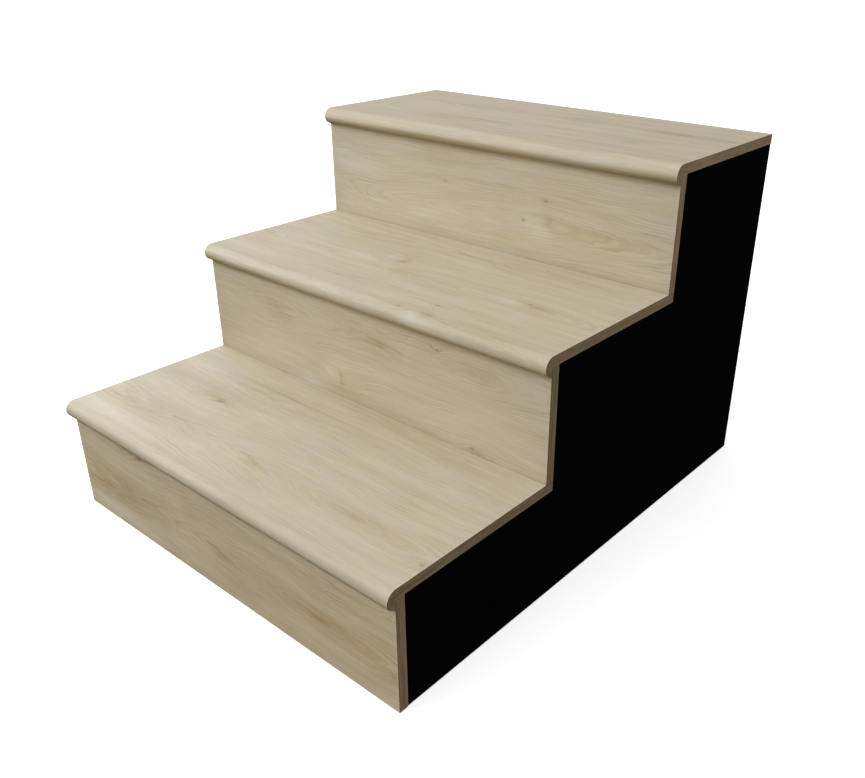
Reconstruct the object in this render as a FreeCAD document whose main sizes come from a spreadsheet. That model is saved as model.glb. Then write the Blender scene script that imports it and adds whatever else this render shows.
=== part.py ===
"""Three-step mounting block: a flight of three closed steps that a rider climbs to reach the stirrup.

Oak-faced treads with round-fronted nosings and oak-faced risers wrap a painted carcass. Two stepped side
panels and a stepped centre panel carry the boards, a back panel closes the rear, and cross rails, cleats
and battens hold everything from inside, so no fastening shows on the steps or the sides.

Frame: millimetres, +Z up, the rider climbs towards +Y, +X is the rider's right. The origin is on the
floor, in the middle of the block's footprint, nosing included.
"""
import FreeCAD, Part  # FreeCAD has to come before Part
import os

import Sketcher

# ---------------------------------------------------------------- driving dimensions

DIMENSIONS = [
    # alias, millimetres, meaning
    ("overall_width", 760, "length of the treads and risers, side to side"),
    ("step_rise", 200, "height of one step"),
    ("step_going", 305, "depth of one step, riser face to riser face"),
    ("board_thickness", 16, "treads and risers"),
    ("nosing_radius", 16, "rounded front of a nosing, from the tread's top down"),
    ("nosing_strip", 8.3, "upright part of a nosing under the round, before its lower corner is rounded"),
    ("nosing_heel_radius", 12, "a nosing's lower corner, between its upright part and its underside"),
    ("nosing_drop", 30.5, "height of a nosing, down to where its underside meets the riser"),
    ("nosing_reach", 14, "how far a nosing stands out from its riser"),
    ("nosing_tail", 30, "flat part of a nosing, behind its riser's face"),
    ("tongue_thickness", 5, "tongue that joins a nosing to its tread"),
    ("tongue_length", 8, "tongue that joins a nosing to its tread"),
    ("edge_radius", 0.8, "eased edges of the boards and panels"),
    ("panel_thickness", 18, "side panels and centre panel"),
    ("panel_inset", 0.5, "side panels behind the boards' ends"),
    ("back_thickness", 12, "back panel"),
    ("body_lift", 2, "panels' lower edge above the floor"),
    ("rail_thickness", 18, "cross rails, front to back"),
    ("rail_height", 70, "cross rails"),
    ("cleat_size", 25, "square section of the cleats and battens"),
    ("base_batten_width", 45, "battens that carry the feet"),
    ("base_batten_height", 25, "battens that carry the feet"),
    ("foot_height", 8, "rubber feet"),
    ("foot_top_radius", 19, "rubber feet, against the batten"),
    ("foot_floor_radius", 17, "rubber feet, on the floor"),
    ("foot_seat_height", 4.5, "where a foot's screw head bears, above the floor"),
    ("foot_bore_radius", 5, "well for the foot's screw head"),
    ("foot_groove_width", 3, "grip groove in a foot's underside"),
    ("foot_chamfer", 1, "feet's edges, and the grip groove's depth"),
    ("foot_edge_inset", 45, "end feet's centres from the batten's ends"),
    ("shank_radius", 2, "wood screws"),
    ("head_radius", 4, "wood screws"),
    ("head_height", 2.4, "pan heads"),
    ("crown_radius", 2.8, "flat top of a pan head"),
    ("clearance_radius", 2.25, "holes that a screw passes through"),
    ("screw_tip", 6, "tapered end of a screw"),
    ("recess_arm", 2.4, "cross recess, centre to the end of an arm"),
    ("recess_width", 1, "cross recess"),
    ("recess_depth", 1.5, "cross recess"),
    ("batten_screw_length", 35, "through the cleats and battens"),
    ("rail_screw_length", 28, "through the front base rail"),
    ("panel_screw_length", 28, "through the back panel"),
    ("base_screw_length", 55, "through the base battens"),
    ("foot_screw_length", 20, "through the feet"),
    ("dowel_radius", 4, "rail dowels"),
    ("dowel_length", 30, "rail dowels"),
    ("dowel_in_panel", 12, "part of a rail dowel that sits in the side panel"),
    ("dowel_edge_inset", 18, "rail dowels from the rail's upper and lower edge"),
    ("pin_radius", 3, "riser dowels"),
    ("pin_length", 16, "riser dowels, half in the tread and half in the riser"),
    ("dowel_chamfer", 0.8, "dowel ends"),
    ("cleat_screw_inset", 45, "tread screws from the cleat's ends"),
    ("side_screw_inset", 90, "cleats' and base battens' side screws from their ends"),
    ("riser_screw_inset", 20, "riser screws from the battens' ends"),
    ("batten_screw_inset", 36, "upright battens' side screws from their ends"),
    ("row_screw_inset", 80, "screws through the back panel and the front rail, from the row's ends"),
    ("pin_inset", 60, "riser dowels from the risers' ends"),
]

STEPS = ("lower", "middle", "upper")
STEP_COUNT = len(STEPS)
SIDES = ("left", "right")

doc = FreeCAD.newDocument("MountingBlock")
sheet = doc.addObject("Spreadsheet::Sheet", "Sizes")
for row, (alias, size, meaning) in enumerate(DIMENSIONS, start=1):
    sheet.set(f"A{row}", alias)
    sheet.set(f"B{row}", str(size))
    sheet.set(f"C{row}", meaning)
    sheet.setAlias(f"B{row}", alias)
doc.recompute()


def cell(alias):
    """Expression that reads a cell of the spreadsheet."""
    return f"Sizes.{alias}"


def number(expression):
    """Value of an expression, in millimetres."""
    return float(sheet.evalExpression(str(expression)))


# ---------------------------------------------------------------- where things are

WIDTH, RISE, GOING = cell("overall_width"), cell("step_rise"), cell("step_going")
BOARD, PANEL, BACK_BOARD = cell("board_thickness"), cell("panel_thickness"), cell("back_thickness")
CLEAT, RAIL, RAIL_HEIGHT = cell("cleat_size"), cell("rail_thickness"), cell("rail_height")
REACH, TAIL, DROP = cell("nosing_reach"), cell("nosing_tail"), cell("nosing_drop")
RADIUS = cell("nosing_radius")
HEEL = f"({DROP} - {RADIUS} - {cell('nosing_strip')})"
BODY_FLOOR = cell("body_lift")
HALF_WIDTH = f"({WIDTH} / 2)"
INNER_FACE = f"({HALF_WIDTH} - {cell('panel_inset')} - {PANEL})"
CENTRE_FACE = f"({PANEL} / 2)"


def riser_face(step):
    """Front face of a step's riser along Y; step 3 is the back of the block."""
    return f"(({REACH} - {STEP_COUNT} * {GOING}) / 2 + {step} * {GOING})"


def riser_back(step):
    """Rear face of a step's riser along Y, where the panels begin."""
    return f"({riser_face(step)} + {BOARD})"


def tread_top(step):
    """Walking surface of a step, above the floor; step -1 is the panels' lower edge."""
    return f"({BODY_FLOOR} + {step + 1} * {RISE})"


def tread_underside(step):
    """Lower face of a step's tread, where the panels, rails and cleats end."""
    return f"({tread_top(step)} - {BOARD})"


BLOCK_BACK = riser_face(STEP_COUNT)
BACK_PANEL_FRONT = f"({BLOCK_BACK} - {BACK_BOARD})"
REAR_RAIL_FRONT = f"({BACK_PANEL_FRONT} - {RAIL})"
BASE_RAIL_BACK = f"({riser_back(0)} + {RAIL})"
BASE_RAIL_TOP = f"({BODY_FLOOR} + {RAIL_HEIGHT})"

# ---------------------------------------------------------------- sketches, bodies and holes

# Each origin plane: its two sketch axes, the axis across it, and which way its normal points on that axis.
PLANES = {"XY_Plane": ("xy", "z", 1), "YZ_Plane": ("yz", "x", 1), "XZ_Plane": ("xz", "y", -1)}
PLANE_ACROSS = {across: plane for plane, (_, across, _) in PLANES.items()}
ORIGIN, WHOLE, END = -1, 3, 2  # Sketcher: the origin's geometry, and a circle's centre and a line's end
AXIS_OF = {"DistanceX": -2, "DistanceY": -1}  # the sketch axis that a zero distance puts a point on
THROUGH_ALL = 1
TOLERANCE = 1e-4


def pin_point(sketch, geometry, point, place):
    """Fixes a point of the sketch at a pair of expressions, measured from the sketch's origin."""
    for kind, expression in zip(("DistanceX", "DistanceY"), place):
        distance = number(expression)
        if abs(distance) < TOLERANCE:
            constraint = Sketcher.Constraint("PointOnObject", geometry, point, AXIS_OF[kind])
            sketch.addConstraint(constraint)
            continue
        constraint = Sketcher.Constraint(kind, ORIGIN, 1, geometry, point, distance)
        index = sketch.addConstraint(constraint)
        sketch.setExpression(f"Constraints[{index}]", expression)


def vector(place):
    """Point of a sketch from a pair of expressions."""
    return FreeCAD.Vector(number(place[0]), number(place[1]), 0)


def draw_polygon(sketch, corners):
    """Closed outline of straight lines through the corners, each a pair of expressions."""
    first = sketch.GeometryCount
    count = len(corners)
    for index, corner in enumerate(corners):
        following = corners[(index + 1) % count]
        sketch.addGeometry(Part.LineSegment(vector(corner), vector(following)))
    for index, corner in enumerate(corners):
        following = first + (index + 1) % count
        sketch.addConstraint(Sketcher.Constraint("Coincident", first + index, END, following, 1))
        pin_point(sketch, first + index, 1, corner)


def draw_circle(sketch, centre, radius):
    """Circle whose centre and radius are expressions."""
    circle = Part.Circle(vector(centre), FreeCAD.Vector(0, 0, 1), number(radius))
    index = sketch.addGeometry(circle)
    constraint = sketch.addConstraint(Sketcher.Constraint("Radius", index, number(radius)))
    sketch.setExpression(f"Constraints[{constraint}]", radius)
    pin_point(sketch, index, WHOLE, centre)


def rectangle(low, high):
    """Corners of a rectangle between two opposite corners."""
    (left, bottom), (right, top) = low, high
    return [(left, bottom), (right, bottom), (right, top), (left, top)]


class Piece:
    """One sub-part: a PartDesign body, drawn from its own lowest corner, which expressions place."""

    def __init__(self, label, corner):
        self.body = doc.addObject("PartDesign::Body", label)
        self.body.Label = label
        self.corner = dict(zip("xyz", corner))
        self.planes = {feature.Role: feature for feature in self.body.Origin.OriginFeatures}
        for axis, expression in self.corner.items():
            self.body.setExpression(f"Placement.Base.{axis}", expression)

    def add(self, kind, suffix):
        """New feature or sketch in the body."""
        return self.body.newObject(kind, f"{self.body.Label}_{suffix}")

    def sketch(self, plane, level="0"):
        """Empty sketch on an origin plane, moved to a level along the axis across the plane."""
        sketch = self.add("Sketcher::SketchObject", "sketch")
        sketch.AttachmentSupport = [(self.planes[plane], "")]
        sketch.MapMode = "FlatFace"
        sketch.setExpression("AttachmentOffset.Base.z", f"{PLANES[plane][2]} * ({level})")
        return sketch

    def pad(self, sketch, plane, length):
        """Solid from a sketch, towards the positive side of the plane."""
        pad = self.add("PartDesign::Pad", "pad")
        pad.Profile = sketch
        pad.Reversed = PLANES[plane][2] < 0
        pad.setExpression("Length", length)
        return self

    def prism(self, plane, corners, length):
        """Solid with a polygon for its section."""
        sketch = self.sketch(plane)
        draw_polygon(sketch, corners)
        return self.pad(sketch, plane, length)

    def pocket(self, sketch, plane, depth=None, towards=1):
        """Cut from a sketch, right through or to a depth."""
        pocket = self.add("PartDesign::Pocket", "pocket")
        pocket.Profile = sketch
        if depth is None:
            pocket.Type = THROUGH_ALL
            pocket.Midplane = True
        else:
            pocket.Reversed = towards * PLANES[plane][2] > 0
            pocket.setExpression("Length", depth)
        return pocket

    def local(self, axes, place):
        """Pair of expressions from the block's frame, measured from this piece's corner."""
        return tuple(f"{place[axis]} - ({self.corner[axis]})" for axis in axes)

    def drill(self, axis, places, radius, depth=None, level="0", towards=1):
        """Round holes along an axis, at places given in the block's frame."""
        plane = PLANE_ACROSS[axis]
        sketch = self.sketch(plane, level)
        for place in places:
            draw_circle(sketch, self.local(PLANES[plane][0], place), radius)
        self.pocket(sketch, plane, depth, towards)

    def countersink(self, axis, places, level):
        """Countersunk screw holes right through, from a face at a level, towards the negative side."""
        plane = PLANE_ACROSS[axis]
        sketch = self.sketch(plane, level)
        for place in places:
            draw_circle(sketch, self.local(PLANES[plane][0], place), cell("shank_radius"))
        doc.recompute()
        hole = self.add("PartDesign::Hole", "hole")
        hole.Profile = sketch
        doc.recompute()
        hole.DepthType = "ThroughAll"
        hole.Reversed = PLANES[plane][2] < 0
        hole.HoleCutType = "Countersink"
        hole.HoleCutCustomValues = True
        hole.HoleCutCountersinkAngle = 90
        hole.setExpression("Diameter", f"2 * {cell('clearance_radius')}")
        hole.setExpression("HoleCutDiameter", f"2 * {cell('head_radius')}")

    def ease(self, chosen, radius="edge_radius"):
        """Rounds the edges of the finished solid that the test picks, in the piece's own corner frame."""
        shape = self.body.Tip.Shape
        names = [f"Edge{n}" for n, edge in enumerate(shape.Edges, start=1) if chosen(edge)]
        base = self.body.Tip
        fillet = self.add("PartDesign::Fillet", "fillet")
        fillet.Base = (base, names)
        fillet.setExpression("Radius", cell(radius))


def lies_on(edge, axis, *levels):
    """Whether all of an edge's ends lie on one of the levels of an axis."""
    places = [getattr(vertex.Point, axis) for vertex in edge.Vertexes]
    return any(all(abs(place - level) < TOLERANCE for place in places) for level in levels)


def box(label, corner, size):
    """Rectangular piece, padded upwards from its lowest corner."""
    length, depth, height = size
    return Piece(label, corner).prism("XY_Plane", rectangle(("0", "0"), (length, depth)), height)


def span(start, end):
    """Expression for the distance between two places."""
    return f"({end} - {start})"


# ---------------------------------------------------------------- stepped panels


def stepped_outline(depth):
    """Side view of the carcass: three steps up from the front, straight down at the back."""
    corners = [("0", "0"), (depth, "0")]
    for step in reversed(range(STEP_COUNT)):
        height = span(BODY_FLOOR, tread_underside(step))
        rear = depth if step == STEP_COUNT - 1 else f"{step + 1} * {GOING}"
        corners += [(rear, height), (f"{step} * {GOING}", height)]
    return corners


def make_side_panel(side):
    """Painted stepped panel, whose outer face stands just behind the ends of the boards."""
    outer = f"({HALF_WIDTH} - {cell('panel_inset')})"
    left = f"-{outer}" if side == "left" else INNER_FACE
    panel = Piece(f"side_panel_{side}", (left, riser_back(0), BODY_FLOOR))
    return panel.prism("YZ_Plane", stepped_outline(span(riser_back(0), BLOCK_BACK)), PANEL)


def make_centre_panel():
    """Stepped panel under the middle of the treads, notched round the five cross rails."""
    depth = span(riser_back(0), BACK_PANEL_FRONT)
    panel = Piece("centre_panel", (f"-{CENTRE_FACE}", riser_back(0), BODY_FLOOR))
    panel.prism("YZ_Plane", stepped_outline(depth), PANEL)
    top = span(BODY_FLOOR, tread_underside(STEP_COUNT - 1))
    rear = f"({depth} - {RAIL})"
    notches = [
        rectangle(("0", "0"), (RAIL, RAIL_HEIGHT)),
        rectangle((rear, "0"), (depth, RAIL_HEIGHT)),
        rectangle((rear, f"{top} - {RAIL_HEIGHT}"), (depth, top)),
    ]
    for step in range(STEP_COUNT - 1):
        under = span(BODY_FLOOR, tread_underside(step))
        back = f"{step + 1} * {GOING}"
        notches.append(rectangle((f"{back} - {RAIL}", f"{under} - {RAIL_HEIGHT}"), (back, under)))
    sketch = panel.sketch("YZ_Plane")
    for notch in notches:
        draw_polygon(sketch, notch)
    panel.pocket(sketch, "YZ_Plane")
    return panel


def make_back_panel():
    """Painted panel that closes the rear, between the side panels and under the upper tread."""
    size = (f"2 * {INNER_FACE}", BACK_BOARD, span(BODY_FLOOR, tread_underside(STEP_COUNT - 1)))
    return box("back_panel", (f"-{INNER_FACE}", BACK_PANEL_FRONT, BODY_FLOOR), size)


# ---------------------------------------------------------------- treads, nosings and risers


def tongue_levels():
    """Lower and upper face of the tongue, above the underside of its board."""
    half = f"({cell('tongue_thickness')} / 2)"
    return f"{BOARD} / 2 - {half}", f"{BOARD} / 2 + {half}"


def make_tread(step):
    """Board of a step, grooved for its nosing and running back under the next riser."""
    front = f"({riser_face(step)} + {TAIL})"
    back = BLOCK_BACK if step == STEP_COUNT - 1 else riser_back(step + 1)
    depth = span(front, back)
    groove = cell("tongue_length")
    low, high = tongue_levels()
    corners = [("0", "0"), (depth, "0"), (depth, BOARD), ("0", BOARD)]
    corners += [("0", high), (groove, high), (groove, low), ("0", low)]
    tread = Piece(f"tread_{STEPS[step]}", (f"-{HALF_WIDTH}", front, tread_underside(step)))
    return tread.prism("YZ_Plane", corners, WIDTH)


def make_nosing(step):
    """Nosing: a round front, an underside that slants back to the riser, a tongue behind."""
    corner = (f"-{HALF_WIDTH}", f"({riser_face(step)} - {REACH})", f"({tread_top(step)} - {DROP})")
    nosing = Piece(f"nosing_{STEPS[step]}", corner)
    under, tail = f"({DROP} - {BOARD})", f"({REACH} + {TAIL})"
    low, high = (f"{under} + {level}" for level in tongue_levels())
    tip = f"{tail} + {cell('tongue_length')}"
    centre = (RADIUS, f"{DROP} - {RADIUS}")
    round_top, round_end = (RADIUS, DROP), ("0", f"{DROP} - {RADIUS}")
    straight = [round_end, ("0", HEEL), (REACH, "0"), (REACH, under), (tail, under), (tail, low)]
    straight += [(tip, low), (tip, high), (tail, high), (tail, DROP), round_top]

    sketch = nosing.sketch("YZ_Plane")
    for start, end in zip(straight, straight[1:]):
        sketch.addGeometry(Part.LineSegment(vector(start), vector(end)))
    lines = len(straight) - 1
    for line in range(lines - 1):
        sketch.addConstraint(Sketcher.Constraint("Coincident", line, END, line + 1, 1))
        pin_point(sketch, line + 1, 1, straight[line + 1])
    shoulder = (f"{RADIUS} * (1 - sqrt(0.5))", f"{DROP} - {RADIUS} * (1 - sqrt(0.5))")
    arc = sketch.addGeometry(Part.Arc(vector(round_top), vector(shoulder), vector(round_end)))
    pin_point(sketch, arc, WHOLE, centre)
    radius = sketch.addConstraint(Sketcher.Constraint("Radius", arc, number(RADIUS)))
    sketch.setExpression(f"Constraints[{radius}]", RADIUS)
    sketch.addConstraint(Sketcher.Constraint("Coincident", arc, 1, lines - 1, END))
    sketch.addConstraint(Sketcher.Constraint("Coincident", arc, END, 0, 1))
    for kind, point, place in (("DistanceX", 1, round_top[0]), ("DistanceY", END, round_end[1])):
        constraint = Sketcher.Constraint(kind, ORIGIN, 1, arc, point, number(place))
        index = sketch.addConstraint(constraint)
        sketch.setExpression(f"Constraints[{index}]", place)
    return nosing.pad(sketch, "YZ_Plane", WIDTH)


def make_riser(step):
    """Upright board of a step: the first stands just off the floor, the others on the tread below."""
    foot = tread_top(step - 1)
    size = (WIDTH, BOARD, span(foot, tread_underside(step)))
    return box(f"riser_{STEPS[step]}", (f"-{HALF_WIDTH}", riser_face(step), foot), size)


# ---------------------------------------------------------------- rails, cleats, battens and feet


def make_rail(label, front, bottom):
    """Rail across the block, between the side panels."""
    size = (f"2 * {INNER_FACE}", RAIL, RAIL_HEIGHT)
    return box(label, (f"-{INNER_FACE}", front, bottom), size)


def beside_panel(side, width):
    """Left edge of a strip of some width that lies against a panel's inner face."""
    places = {"left": f"-{INNER_FACE}", "right": f"({INNER_FACE} - {width})", "centre": CENTRE_FACE}
    return places[side]


def make_cleat(side, step):
    """Cleat that carries a tread along a panel, from its riser to the rail at its rear."""
    upper = step == STEP_COUNT - 1
    rear = REAR_RAIL_FRONT if upper else f"({riser_back(step + 1)} - {RAIL})"
    corner = (beside_panel(side, CLEAT), riser_back(step), f"({tread_underside(step)} - {CLEAT})")
    return box(f"cleat_{side}_{STEPS[step]}", corner, (CLEAT, span(riser_back(step), rear), CLEAT))


def make_riser_batten(side, step):
    """Upright batten in the corner behind a riser, under the cleat."""
    foot = BASE_RAIL_TOP if step == 0 else tread_top(step - 1)
    height = f"({tread_underside(step)} - {CLEAT} - {foot})"
    corner = (beside_panel(side, CLEAT), riser_back(step), foot)
    return box(f"riser_batten_{side}_{STEPS[step]}", corner, (CLEAT, CLEAT, height))


def make_rear_batten(side):
    """Upright batten in a rear corner, between the two rear rails."""
    top = f"({tread_underside(STEP_COUNT - 1)} - {RAIL_HEIGHT})"
    corner = (beside_panel(side, CLEAT), f"({BACK_PANEL_FRONT} - {CLEAT})", BASE_RAIL_TOP)
    return box(f"rear_batten_{side}", corner, (CLEAT, CLEAT, span(BASE_RAIL_TOP, top)))


def make_base_batten(side):
    """Low batten along a panel, which the feet are screwed to."""
    width = cell("base_batten_width")
    corner = (beside_panel(side, width), BASE_RAIL_BACK, cell("foot_height"))
    size = (width, span(BASE_RAIL_BACK, REAR_RAIL_FRONT), cell("base_batten_height"))
    return box(f"base_batten_{side}", corner, size)


def revolve(piece, corners):
    """Solid turned about the piece's upright axis from half its section."""
    sketch = piece.sketch("XZ_Plane")
    draw_polygon(sketch, corners)
    turned = piece.add("PartDesign::Revolution", "turned")
    turned.Profile = sketch
    turned.ReferenceAxis = (piece.planes["Z_Axis"], [""])
    turned.Angle = 360
    return piece


def make_foot(name, centre):
    """Tapered rubber foot with a well for its screw and a grip groove in its tread."""
    floor_radius, bore = cell("foot_floor_radius"), cell("foot_bore_radius")
    hole, seat, top = cell("clearance_radius"), cell("foot_seat_height"), cell("foot_height")
    chamfer, wide = cell("foot_chamfer"), cell("foot_top_radius")
    groove, half = f"({bore} + {floor_radius}) / 2", f"{cell('foot_groove_width')} / 2"
    corners = [(hole, seat), (bore, seat), (bore, "0"), (f"{groove} - {half}", "0")]
    corners += [(groove, chamfer), (f"{groove} + {half}", "0"), (f"{floor_radius} - {chamfer}", "0")]
    corners += [(floor_radius, chamfer), (wide, f"{top} - {chamfer}"), (wide, top), (hole, top)]
    return revolve(Piece(f"foot_{name}", (centre[0], centre[1], "0")), corners)


# ---------------------------------------------------------------- fasteners


def cut_recess(screw, level):
    """Cross recess in a screw's head, from a level of its axis upwards."""
    arm, half = cell("recess_arm"), f"{cell('recess_width')} / 2"
    for u, v in ((arm, half), (half, arm)):
        sketch = screw.sketch("XY_Plane", level)
        draw_polygon(sketch, rectangle((f"-({u})", f"-({v})"), (f"({u})", f"({v})")))
        screw.pocket(sketch, "XY_Plane", cell("recess_depth"))
    return screw


def fastener(name, length, corners):
    """Pattern piece along +Z, turned from half its section."""
    pattern = revolve(Piece(f"pattern_{name}", ("0", "0", "0")), corners)
    pattern.length = length
    return pattern


def pan_screw(name, length):
    """Pan-head wood screw along +Z, its head under the origin and its shank above it."""
    shank, head, height = cell("shank_radius"), cell("head_radius"), cell("head_height")
    corners = [("0", f"-{height}"), (cell("crown_radius"), f"-{height}"), (head, f"-{height} / 2")]
    corners += [(head, "0"), (shank, "0"), (shank, f"{length} - {cell('screw_tip')}"), ("0", length)]
    return cut_recess(fastener(name, length, corners), f"-{height}")


def countersunk_screw(name, length):
    """Countersunk wood screw along +Z, its head flush with the origin."""
    shank, head = cell("shank_radius"), cell("head_radius")
    corners = [("0", "0"), (head, "0"), (shank, f"{head} - {shank}")]
    corners += [(shank, f"{length} - {cell('screw_tip')}"), ("0", length)]
    return cut_recess(fastener(name, length, corners), "0")


def dowel(name, radius, length):
    """Beech dowel along +Z with chamfered ends."""
    chamfer = cell("dowel_chamfer")
    corners = [("0", "0"), (f"{radius} - {chamfer}", "0"), (radius, chamfer)]
    corners += [(radius, f"{length} - {chamfer}"), (f"{radius} - {chamfer}", length), ("0", length)]
    return fastener(name, length, corners)


class FastenerGroup:
    """Identical fasteners that share one node, each a copy of one pattern piece."""

    def __init__(self, label, pattern):
        self.label = label
        self.pattern = pattern
        self.places = []

    def put(self, places, axis, towards):
        """Adds fasteners whose head or first end is at the places, pointing along an axis."""
        self.places += [(place, axis, towards) for place in places]

    def join(self, places, axis, towards, grip, near, far):
        """Screws that pass through the near piece, grip thick, and bite in the far piece."""
        near.drill(axis, places, cell("clearance_radius"))
        self.bite(places, axis, towards, grip, far)
        self.put(places, axis, towards)

    def bite(self, places, axis, towards, grip, far):
        """Pilot holes in the far piece, as deep as the screws reach past the grip."""
        surface = f"({places[0][axis]} + {towards} * {grip})"
        level = span(far.corner[axis], surface)
        depth = f"{self.pattern.length} - {grip}"
        far.drill(axis, places, cell("shank_radius"), depth, level, towards)

    def build(self):
        """The group's shape: a compound of separate solids."""
        solids = []
        for place, axis, towards in self.places:
            point = FreeCAD.Vector(*(number(place[key]) for key in "xyz"))
            direction = FreeCAD.Vector(*(towards if key == axis else 0 for key in "xyz"))
            turn = FreeCAD.Rotation(FreeCAD.Vector(0, 0, 1), direction)
            solid = self.pattern.body.Shape.copy()
            solid.Placement = FreeCAD.Placement(point, turn)
            solids.append(solid)
        group = doc.addObject("Part::Feature", self.label)
        group.Label = self.label
        group.Shape = Part.makeCompound(solids)
        return group


def at(x, y, z):
    """A place in the block's frame, as expressions."""
    return {"x": str(x), "y": str(y), "z": str(z)}


def along(start, end, inset, count):
    """Evenly spaced places between two ends, keeping an inset from both."""
    first, reach = f"({start} + {inset})", f"({end} - {start} - 2 * {inset})"
    return [f"({first} + {index} * {reach} / {count - 1})" for index in range(count)]


# ---------------------------------------------------------------- the block

sides = {side: make_side_panel(side) for side in SIDES}
centre_panel = make_centre_panel()
back_panel = make_back_panel()
panels = {**sides, "centre": centre_panel}

treads = [make_tread(step) for step in range(STEP_COUNT)]
nosings = [make_nosing(step) for step in range(STEP_COUNT)]
risers = [make_riser(step) for step in range(STEP_COUNT)]

rear_top_rail_bottom = f"({tread_underside(STEP_COUNT - 1)} - {RAIL_HEIGHT})"
rails = {
    "front_base_rail": (riser_back(0), BODY_FLOOR),
    "rear_base_rail": (REAR_RAIL_FRONT, BODY_FLOOR),
    "rear_top_rail": (REAR_RAIL_FRONT, rear_top_rail_bottom),
}
for step in range(STEP_COUNT - 1):
    bottom = f"({tread_underside(step)} - {RAIL_HEIGHT})"
    rails[f"cross_rail_{STEPS[step]}"] = (f"({riser_back(step + 1)} - {RAIL})", bottom)
rail_pieces = {label: make_rail(label, *where) for label, where in rails.items()}

batten_screw = pan_screw("batten_screw", cell("batten_screw_length"))
tread_screws = FastenerGroup("tread_screws", batten_screw)
cleat_screws = FastenerGroup("cleat_screws", batten_screw)
riser_screws = FastenerGroup("riser_screws", batten_screw)
batten_screws = FastenerGroup("batten_screws", batten_screw)
rail_screws = FastenerGroup("rail_screws", pan_screw("rail_screw", cell("rail_screw_length")))
base_screws = FastenerGroup("base_screws", pan_screw("base_screw", cell("base_screw_length")))
foot_screws = FastenerGroup("foot_screws", pan_screw("foot_screw", cell("foot_screw_length")))
panel_screw = countersunk_screw("panel_screw", cell("panel_screw_length"))
back_panel_screws = FastenerGroup("back_panel_screws", panel_screw)
rail_dowels = FastenerGroup("rail_dowels", dowel("rail_dowel", cell("dowel_radius"), cell("dowel_length")))
riser_dowels = FastenerGroup("riser_dowels", dowel("riser_dowel", cell("pin_radius"), cell("pin_length")))


def inward_face(side, width):
    """Face of a strip that looks away from its panel, and the way from it to the panel."""
    strip = beside_panel(side, width)
    if side == "right":
        return strip, 1
    return f"({strip} + {width})", -1


def fit_cleat(side, step):
    """A cleat with its screws up into the tread and sideways into its panel."""
    cleat = make_cleat(side, step)
    strip, start = cleat.corner["x"], cleat.corner["y"]
    rear = REAR_RAIL_FRONT if step == STEP_COUNT - 1 else f"({riser_back(step + 1)} - {RAIL})"
    middle_x, bottom = f"({strip} + {CLEAT} / 2)", cleat.corner["z"]
    inset = cell("cleat_screw_inset")
    upward = [at(middle_x, y, bottom) for y in along(start, rear, inset, 3)]
    tread_screws.join(upward, "z", 1, CLEAT, cleat, treads[step])
    face, towards = inward_face(side, CLEAT)
    middle_z = f"({bottom} + {CLEAT} / 2)"
    sideways = [at(face, y, middle_z) for y in along(start, rear, cell("side_screw_inset"), 2)]
    cleat_screws.join(sideways, "x", towards, CLEAT, cleat, panels[side])


def fit_riser_batten(side, step):
    """A corner batten with its screws forward into the riser and sideways into its panel."""
    batten = make_riser_batten(side, step)
    foot, top = batten.corner["z"], f"({tread_underside(step)} - {CLEAT})"
    middle_x = f"({batten.corner['x']} + {CLEAT} / 2)"
    rear, middle_y = f"({riser_back(step)} + {CLEAT})", f"({riser_back(step)} + {CLEAT} / 2)"
    forward = [at(middle_x, rear, z) for z in along(foot, top, cell("riser_screw_inset"), 2)]
    riser_screws.join(forward, "y", -1, CLEAT, batten, risers[step])
    face, towards = inward_face(side, CLEAT)
    sideways = [at(face, middle_y, z) for z in along(foot, top, cell("batten_screw_inset"), 2)]
    batten_screws.join(sideways, "x", towards, CLEAT, batten, sides[side])


def fit_rear_batten(side):
    """A rear corner batten with its screws sideways into the panel and the back panel's into it."""
    batten = make_rear_batten(side)
    foot, top = BASE_RAIL_TOP, rear_top_rail_bottom
    face, towards = inward_face(side, CLEAT)
    middle_y = f"({BACK_PANEL_FRONT} - {CLEAT} / 2)"
    sideways = [at(face, middle_y, z) for z in along(foot, top, cell("cleat_screw_inset"), 3)]
    batten_screws.join(sideways, "x", towards, CLEAT, batten, sides[side])
    middle_x = f"({batten.corner['x']} + {CLEAT} / 2)"
    heights = along(foot, top, cell("side_screw_inset"), 2)
    return batten, [at(middle_x, BLOCK_BACK, z) for z in heights]


def fit_base_batten(side):
    """A low batten with its screws sideways into its panel and three feet under it."""
    batten = make_base_batten(side)
    width, height = cell("base_batten_width"), cell("base_batten_height")
    face, towards = inward_face(side, width)
    middle_z = f"({cell('foot_height')} + {height} / 2)"
    inset = cell("side_screw_inset")
    sideways = [at(face, y, middle_z) for y in along(BASE_RAIL_BACK, REAR_RAIL_FRONT, inset, 4)]
    base_screws.join(sideways, "x", towards, width, batten, panels[side])
    middle_x = f"({batten.corner['x']} + {width} / 2)"
    rows = along(BASE_RAIL_BACK, REAR_RAIL_FRONT, cell("foot_edge_inset"), 3)
    for name, y in zip(("front", "middle", "rear"), rows):
        make_foot(f"{name}_{side}", (middle_x, y))
    seats = [at(middle_x, y, cell("foot_seat_height")) for y in rows]
    grip = f"({cell('foot_height')} - {cell('foot_seat_height')})"
    foot_screws.bite(seats, "z", 1, grip, batten)
    foot_screws.put(seats, "z", 1)


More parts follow.
